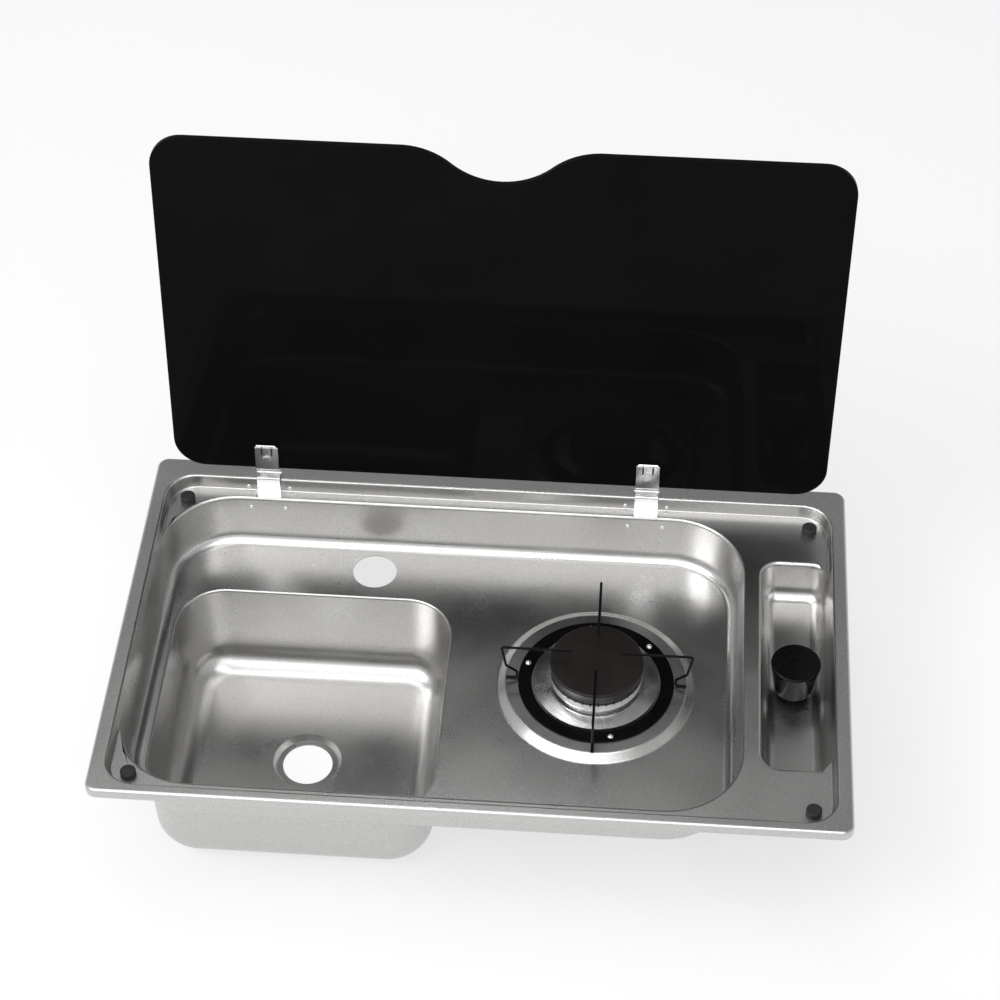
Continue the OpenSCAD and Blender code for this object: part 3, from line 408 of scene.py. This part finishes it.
def rubber(name, colour, rough, grain):
    """Moulded rubber or foam with a fine dull grain."""
    material, tree, shader, place = surface(name, roughness=rough, level=0.35)
    fine = cloud(tree, place, scale=1.0 / grain, detail=4.0)
    tint(tree, shader, fine, colour, shares=(0.7, 1.35))
    gloss(tree, shader, fine, rough, least=0.9, most=1.1)
    relief(tree, shader, fine, strength=0.5, distance=0.00008)


def moulded_plastic(name, colour, rough, level):
    """Glossy moulded plastic with faint rub marks."""
    material, tree, shader, place = surface(name, roughness=rough, level=level)
    marks = cloud(tree, place, scale=220.0, detail=5.0, stretch=RUB_STRETCH)
    tint(tree, shader, marks, colour, shares=(0.85, 1.3), band=NARROW_BAND)
    gloss(tree, shader, marks, rough, least=0.8, most=1.5)
    relief(tree, shader, marks, strength=0.05, distance=0.00002)


def dark_glass(name, colour, rough, level):
    """Black tempered glass: deep polish with the faintest smears."""
    material, tree, shader, place = surface(name, roughness=rough, level=level)
    smear = cloud(tree, place, scale=9.0, detail=5.0)
    tint(tree, shader, smear, colour, shares=(0.9, 1.15), band=NARROW_BAND)
    gloss(tree, shader, smear, rough, least=0.7, most=1.6)


def finishes():
    """Makes every finish of the unit, once."""
    if "satin steel" in bpy.data.materials:
        return
    look = bpy.context.scene.hob_finish
    burner = burner_centre()
    sheet_metal("satin steel", look.steel_colour, look.steel_roughness, look.grain,
                look.grain_depth)
    sheet_metal("bright steel", look.bright_colour, look.bright_roughness, grain=0.0006,
                depth=0.00001)
    sheet_metal("rivet aluminium", (0.95, 0.95, 0.95), rough=0.38, grain=0.0005, depth=0.000005)
    sheet_metal("pipe steel", (0.52, 0.53, 0.54), rough=0.3, grain=0.0009, depth=0.00002)
    turned_metal("machined aluminium", look.aluminium_colour, rough=0.24, centre=burner,
                 step=0.0006)
    turned_metal("cast aluminium", tone(look.aluminium_colour, 0.9), rough=0.42, centre=burner,
                 step=0.0016)
    enamel("cap enamel", look.cap_colour, rough=0.42, peel=0.0011, level=0.3)
    enamel("black enamel", (0.002, 0.002, 0.002), rough=0.3, peel=0.0014, level=0.1)
    sheet_metal("brass", (0.72, 0.52, 0.24), rough=0.27, grain=0.0007, depth=0.00002)
    sheet_metal("copper", (0.74, 0.4, 0.25), rough=0.24, grain=0.0009, depth=0.00002)
    rubber("black rubber", (0.016, 0.016, 0.016), rough=0.6, grain=0.0007)
    rubber("foam seal", (0.09, 0.09, 0.09), rough=0.9, grain=0.0012)
    moulded_plastic("knob plastic", look.knob_colour, rough=0.1, level=0.13)
    dark_glass("lid glass", look.glass_colour, rough=0.03, level=look.glass_gloss)


def finish_of(name):
    finishes()
    return bpy.data.materials[name]


# Settings

class HobFinish(bpy.types.PropertyGroup):
    """Colours and gloss of the unit's materials."""
    steel_colour: bpy.props.FloatVectorProperty(
        name="Steel", description="Colour of the pressed steel",
        subtype="COLOR", size=3, min=0, max=1, default=(0.565, 0.56, 0.552))
    steel_roughness: bpy.props.FloatProperty(
        name="Steel roughness", description="Roughness of the satin steel",
        subtype="FACTOR", min=0.05, max=0.8, default=0.29)
    grain: bpy.props.FloatProperty(
        name="Grain", description="Size of the satin grain",
        subtype="DISTANCE", unit="LENGTH", min=0.0002, max=0.01, default=0.0012)
    grain_depth: bpy.props.FloatProperty(
        name="Grain depth", description="Depth of the satin grain",
        subtype="DISTANCE", unit="LENGTH", min=0.0, max=0.001, default=0.000012)
    bright_colour: bpy.props.FloatVectorProperty(
        name="Bright steel", description="Colour of the hinges and fasteners",
        subtype="COLOR", size=3, min=0, max=1, default=(0.78, 0.78, 0.78))
    bright_roughness: bpy.props.FloatProperty(
        name="Bright steel roughness", description="Roughness of the hinges and fasteners",
        subtype="FACTOR", min=0.02, max=0.6, default=0.14)
    aluminium_colour: bpy.props.FloatVectorProperty(
        name="Aluminium", description="Colour of the burner head and cup",
        subtype="COLOR", size=3, min=0, max=1, default=(0.74, 0.74, 0.745))
    cap_colour: bpy.props.FloatVectorProperty(
        name="Burner cap", description="Colour of the cap's enamel",
        subtype="COLOR", size=3, min=0, max=1, default=(0.0095, 0.007, 0.0065))
    knob_colour: bpy.props.FloatVectorProperty(
        name="Knob", description="Colour of the knob",
        subtype="COLOR", size=3, min=0, max=1, default=(0.004, 0.004, 0.004))
    glass_colour: bpy.props.FloatVectorProperty(
        name="Glass", description="Colour of the lid",
        subtype="COLOR", size=3, min=0, max=1, default=(0.0048, 0.0048, 0.0048))
    glass_gloss: bpy.props.FloatProperty(
        name="Glass gloss", description="Strength of the lid's reflections seen from in front",
        subtype="FACTOR", min=0.0, max=1.0, default=0.02)


class HobEdges(bpy.types.PropertyGroup):
    """Sizes of the rounded edges."""
    trough: bpy.props.FloatProperty(
        name="Trough edge", description="Radius of the pressed edge round the trough",
        subtype="DISTANCE", unit="LENGTH", min=0.001, max=0.0035, default=0.003)
    well: bpy.props.FloatProperty(
        name="Well edge", description="Radius of the pressed edge round the well",
        subtype="DISTANCE", unit="LENGTH", min=0.001, max=0.0035, default=0.0025)
    plinth: bpy.props.FloatProperty(
        name="Plinth edge", description="Radius of the pressed edges of the burner's plinth",
        subtype="DISTANCE", unit="LENGTH", min=0.0003, max=0.002, default=0.001)
    glass: bpy.props.FloatProperty(
        name="Glass edge", description="Width of the ground edge of the lid",
        subtype="DISTANCE", unit="LENGTH", min=0.0002, max=0.002, default=0.0012)
    sheet: bpy.props.FloatProperty(
        name="Sheet edge", description="Rounding of the bent plates' edges",
        subtype="DISTANCE", unit="LENGTH", min=0.00005, max=0.0004, default=0.00018)
    fitting: bpy.props.FloatProperty(
        name="Fitting edge", description="Rounding of nuts and machined fittings",
        subtype="DISTANCE", unit="LENGTH", min=0.0001, max=0.001, default=0.0004)


class HobStudio(bpy.types.PropertyGroup):
    """Floor and lamps."""
    floor_colour: bpy.props.FloatVectorProperty(
        name="Floor", description="Colour of the floor",
        subtype="COLOR", size=3, min=0, max=1, default=(0.95, 0.95, 0.95))
    front_power: bpy.props.FloatProperty(
        name="Front lamp", description="Power of the soft lamp above the camera",
        subtype="POWER", unit="POWER", min=0, max=200, default=17.0)
    left_power: bpy.props.FloatProperty(
        name="Left lamp", description="Power of the bright lamp at the front left",
        subtype="POWER", unit="POWER", min=0, max=200, default=44.0)
    top_power: bpy.props.FloatProperty(
        name="Top lamp", description="Power of the soft lamp overhead",
        subtype="POWER", unit="POWER", min=0, max=200, default=13.5)
    fill_power: bpy.props.FloatProperty(
        name="Fill lamp", description="Power of the weak lamp between front lamp and top lamp",
        subtype="POWER", unit="POWER", min=0, max=200, default=5.0)
    back_power: bpy.props.FloatProperty(
        name="Back lamp", description="Power of the small lamp that lights the burner's foot",
        subtype="POWER", unit="POWER", min=0, max=200, default=2.2)
    ceiling: bpy.props.FloatProperty(
        name="Ceiling", description="Brightness of the studio high above the horizon",
        subtype="FACTOR", min=0, max=1, default=0.27)


# Pieces

class HOB_OT_tray(bpy.types.Operator):
    """Pressed steel tray with rolled edges, in satin finish"""
    bl_idname = "hob.tray"
    bl_label = "Steel tray"

    def execute(self, context):
        piece = merged_copy("steel_top")
        roll_tray_edges(piece, context.scene.hob_edges)
        shade(piece, TRAY_SMOOTH)
        dress(piece, finish_of("satin steel"), "tray", "steel_top")
        return {"FINISHED"}


class HOB_OT_rubber(bpy.types.Operator):
    """Rubber bumpers and the foam seal under the rim"""
    bl_idname = "hob.rubber"
    bl_label = "Bumpers and seal"

    def execute(self, context):
        paint(finish_of("black rubber"), "bumper_front_left", "bumper_front_right",
              "bumper_back_left", "bumper_back_right")
        paint(finish_of("foam seal"), "rim_seal")
        return {"FINISHED"}


class HOB_OT_hinges(bpy.types.Operator):
    """Hinge brackets, their pins, backing channels and rivets"""
    bl_idname = "hob.hinges"
    bl_label = "Hinges"

    def execute(self, context):
        steel = finish_of("bright steel")
        edge = context.scene.hob_edges.sheet
        for side in ("left", "right"):
            for kind in ("hinge_bracket_", "hinge_backing_"):
                rounded(kind + side, edge, steel, "tray")
        rounded("hinge_rivets", edge * RIVET_ROUNDING, finish_of("rivet aluminium"), "tray",
                segments=3)
        paint(steel, "hinge_pin_left", "hinge_pin_right")
        return {"FINISHED"}


class HOB_OT_lid(bpy.types.Operator):
    """Black glass lid with its ground edge"""
    bl_idname = "hob.lid"
    bl_label = "Glass lid"

    def execute(self, context):
        rounded("lid_glass", context.scene.hob_edges.glass, finish_of("lid glass"), "lid",
                segments=4)
        return {"FINISHED"}


class HOB_OT_clamps(bpy.types.Operator):
    """Lid clamps with their pads, screws and nuts"""
    bl_idname = "hob.clamps"
    bl_label = "Lid clamps"

    def execute(self, context):
        steel = finish_of("bright steel")
        sizes = context.scene.hob_edges
        for side in ("left", "right"):
            rounded("lid_clamp_" + side, sizes.sheet, steel, "lid")
        rounded("clamp_nuts", sizes.fitting, steel, "lid")
        paint(steel, "clamp_screw_left", "clamp_screw_right")
        paint(finish_of("black rubber"), "clamp_pads_left", "clamp_pads_right")
        return {"FINISHED"}


class HOB_OT_burner(bpy.types.Operator):
    """Burner cup, head, cap, ring and screws"""
    bl_idname = "hob.burner"
    bl_label = "Burner"

    def execute(self, context):
        paint(finish_of("cast aluminium"), "burner_cup")
        paint(finish_of("machined aluminium"), "burner_head")
        paint(finish_of("cap enamel"), "burner_cap")
        paint(finish_of("black enamel"), "burner_ring")
        paint(finish_of("bright steel"), "burner_screws")
        return {"FINISHED"}


class HOB_OT_pan_support(bpy.types.Operator):
    """Pan support wires"""
    bl_idname = "hob.pan_support"
    bl_label = "Pan support"

    def execute(self, context):
        paint(finish_of("black enamel"), "pan_arm_right", "pan_arm_back", "pan_arm_left",
              "pan_arm_front")
        return {"FINISHED"}


class HOB_OT_gas_parts(bpy.types.Operator):
    """Pipes, jet, valve and flame guard under the tray"""
    bl_idname = "hob.gas_parts"
    bl_label = "Gas parts"

    def execute(self, context):
        brass = finish_of("brass")
        for part in ("burner_pipe_nuts", "inlet_nut", "jet_holder", "valve_body", "valve_cover"):
            rounded(part, context.scene.hob_edges.fitting, brass, "tray")
        paint(brass, "gas_jet", "valve_plug")
        paint(finish_of("pipe steel"), "burner_pipe", "inlet_pipe", "thermocouple")
        paint(finish_of("copper"), "thermocouple_lead")
        paint(finish_of("bright steel"), "magnet_unit", "magnet_stem", "valve_nut", "spindle")
        self.return_spring()
        return {"FINISHED"}

    def return_spring(self):
        """The valve's coil in bright steel, with a mesh of its own."""
        piece = merged_copy("valve_spring")
        shade(piece, COIL_SMOOTH)
        dress(piece, finish_of("bright steel"), "tray", "valve_spring")
        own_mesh(piece)


class HOB_OT_knob(bpy.types.Operator):
    """Gas knob"""
    bl_idname = "hob.knob"
    bl_label = "Knob"

    def execute(self, context):
        paint(finish_of("knob plastic"), "knob")
        return {"FINISHED"}


# Studio

def lamp(name, power, size, place):
    """A rectangular soft lamp that faces the unit."""
    choose()
    bpy.ops.object.light_add(type="AREA", location=place)
    made = bpy.context.object
    made.name = name
    made.data.shape = "RECTANGLE"
    made.data.size, made.data.size_y = size
    made.data.energy = power
    made.rotation_euler = (-Vector(place)).to_track_quat("-Z", "Y").to_euler()


def seen_rays(tree):
    """1 for camera, glossy and transmission rays."""
    path = node(tree, "ShaderNodeLightPath")
    first = node(tree, "ShaderNodeMath", operation="MAXIMUM")
    second = node(tree, "ShaderNodeMath", operation="MAXIMUM")
    tree.links.new(path.outputs["Is Camera Ray"], first.inputs[0])
    tree.links.new(path.outputs["Is Glossy Ray"], first.inputs[1])
    tree.links.new(first.outputs[0], second.inputs[0])
    tree.links.new(path.outputs["Is Transmission Ray"], second.inputs[1])
    return second.outputs[0]


class HOB_OT_stage(bpy.types.Operator):
    """Plain pale floor, studio world, soft lamps and the camera"""
    bl_idname = "hob.stage"
    bl_label = "Studio"

    def execute(self, context):
        studio = context.scene.hob_studio
        self.floor(studio)
        self.world(studio)
        lamp("front lamp", studio.front_power, size=(3.0, 0.8), place=(-0.2, -2.14, 2.38))
        lamp("left lamp", studio.left_power, size=(1.6, 1.2), place=(-1.85, -1.25, 2.6))
        lamp("top lamp", studio.top_power, size=(2.4, 0.6), place=(-0.1, -0.15, 2.2))
        lamp("fill lamp", studio.fill_power, size=(2.4, 0.9), place=(-0.1, -0.95, 2.2))
        lamp("back lamp", studio.back_power, size=(0.5, 0.3), place=(-0.2, 0.98, 2.2))
        self.camera()
        context.scene.view_settings.view_transform = "Standard"
        return {"FINISHED"}

    def floor(self, studio):
        """Pale paper that shows evenly lit, and keeps the unit's shadow."""
        choose()
        bpy.ops.mesh.primitive_grid_add(x_subdivisions=FLOOR_STEPS, y_subdivisions=FLOOR_STEPS,
                                        size=FLOOR_SIZE,
                                        location=(0.0, 0.0, CAD_BOX[0].z - FLOOR_GAP))
        ground = bpy.context.object
        ground.name = "floor"
        material, tree, shader, place = surface("floor paper", roughness=0.9, level=0.1)
        paper = cloud(tree, place, scale=3.0, detail=2.0)
        tint(tree, shader, paper, studio.floor_colour, shares=(0.99, 1.0))
        glow = node(tree, "ShaderNodeEmission", {"Color": (1.0, 1.0, 1.0, 1.0)})
        share = node(tree, "ShaderNodeMath", {1: FLOOR_GLOW}, operation="MULTIPLY")
        mixed = node(tree, "ShaderNodeMixShader")
        tree.links.new(seen_rays(tree), share.inputs[0])
        tree.links.new(share.outputs[0], mixed.inputs["Fac"])
        tree.links.new(shader.outputs["BSDF"], mixed.inputs[1])
        tree.links.new(glow.outputs["Emission"], mixed.inputs[2])
        tree.links.new(mixed.outputs["Shader"], tree.nodes["Material Output"].inputs["Surface"])
        ground.data.materials.append(material)

    def world(self, studio):
        """A studio that is white at the horizon and darkens with height, sooner at the back."""
        world = bpy.data.worlds.new("studio")
        bpy.context.scene.world = world
        world.use_nodes = True
        tree = world.node_tree
        place = node(tree, "ShaderNodeTexCoord")
        split = node(tree, "ShaderNodeSeparateXYZ")
        tree.links.new(place.outputs["Generated"], split.inputs["Vector"])
        height = node(tree, "ShaderNodeMath", {1: SKY_LEAN}, operation="MULTIPLY_ADD")
        tree.links.new(split.outputs["Y"], height.inputs[0])
        tree.links.new(split.outputs["Z"], height.inputs[2])
        seen = shades(tree, height.outputs[0], SKY_SHADES + [(CEILING_FROM, studio.ceiling)])
        both = node(tree, "ShaderNodeMix", data_type="RGBA")
        tree.links.new(seen_rays(tree), both.inputs["Factor"])
        both.inputs["A"].default_value = (SOFT_LIGHT, SOFT_LIGHT, SOFT_LIGHT, 1.0)
        tree.links.new(seen, both.inputs["B"])
        tree.links.new(both.outputs["Result"], tree.nodes["Background"].inputs["Color"])

    def camera(self):
        choose()
        bpy.ops.object.camera_add()
        camera = bpy.context.object
        camera.name = "photo camera"
        axes = [Vector(axis) for axis in (CAMERA_RIGHT, CAMERA_UP, CAMERA_BACK)]
        turn = Matrix(axes).transposed().to_4x4()
        camera.matrix_world = Matrix.Translation(CAMERA_PLACE) @ turn
        camera.data.sensor_width = CAMERA_SENSOR
        camera.data.lens = CAMERA_LENS
        camera.data.clip_start, camera.data.clip_end = CAMERA_CLIP
        bpy.context.scene.camera = camera


class HOB_PT_panel(bpy.types.Panel):
    """Settings and pieces of the hob and sink unit"""
    bl_label = "Hob and sink"
    bl_idname = "HOB_PT_panel"
    bl_space_type = "VIEW_3D"
    bl_region_type = "UI"
    bl_category = "Hob and sink"

    def draw(self, context):
        scene = context.scene
        for settings in (scene.hob_finish, scene.hob_edges, scene.hob_studio):
            box = self.layout.box()
            for key in settings.bl_rna.properties.keys():
                if key not in ("rna_type", "name"):
                    box.prop(settings, key)
        for step in STEPS:
            self.layout.operator(step.bl_idname)


SETTINGS = (HobFinish, HobEdges, HobStudio)
STEPS = (HOB_OT_tray, HOB_OT_rubber, HOB_OT_hinges, HOB_OT_lid, HOB_OT_clamps, HOB_OT_burner,
         HOB_OT_pan_support, HOB_OT_gas_parts, HOB_OT_knob, HOB_OT_stage)


def register():
    for thing in (*SETTINGS, *STEPS, HOB_PT_panel):
        bpy.utils.register_class(thing)
    bpy.types.Scene.hob_finish = bpy.props.PointerProperty(type=HobFinish)
    bpy.types.Scene.hob_edges = bpy.props.PointerProperty(type=HobEdges)
    bpy.types.Scene.hob_studio = bpy.props.PointerProperty(type=HobStudio)


def unregister():
    del bpy.types.Scene.hob_studio
    del bpy.types.Scene.hob_edges
    del bpy.types.Scene.hob_finish
    for thing in reversed((*SETTINGS, *STEPS, HOB_PT_panel)):
        bpy.utils.unregister_class(thing)


def main():
    register()
    bpy.ops.hob.tray()
    bpy.ops.hob.rubber()
    bpy.ops.hob.hinges()
    bpy.ops.hob.lid()
    bpy.ops.hob.clamps()
    bpy.ops.hob.burner()
    bpy.ops.hob.pan_support()
    bpy.ops.hob.gas_parts()
    bpy.ops.hob.knob()
    bpy.ops.hob.stage()
    choose()
    bpy.context.view_layer.update()


if __name__ == "__main__":
    main()
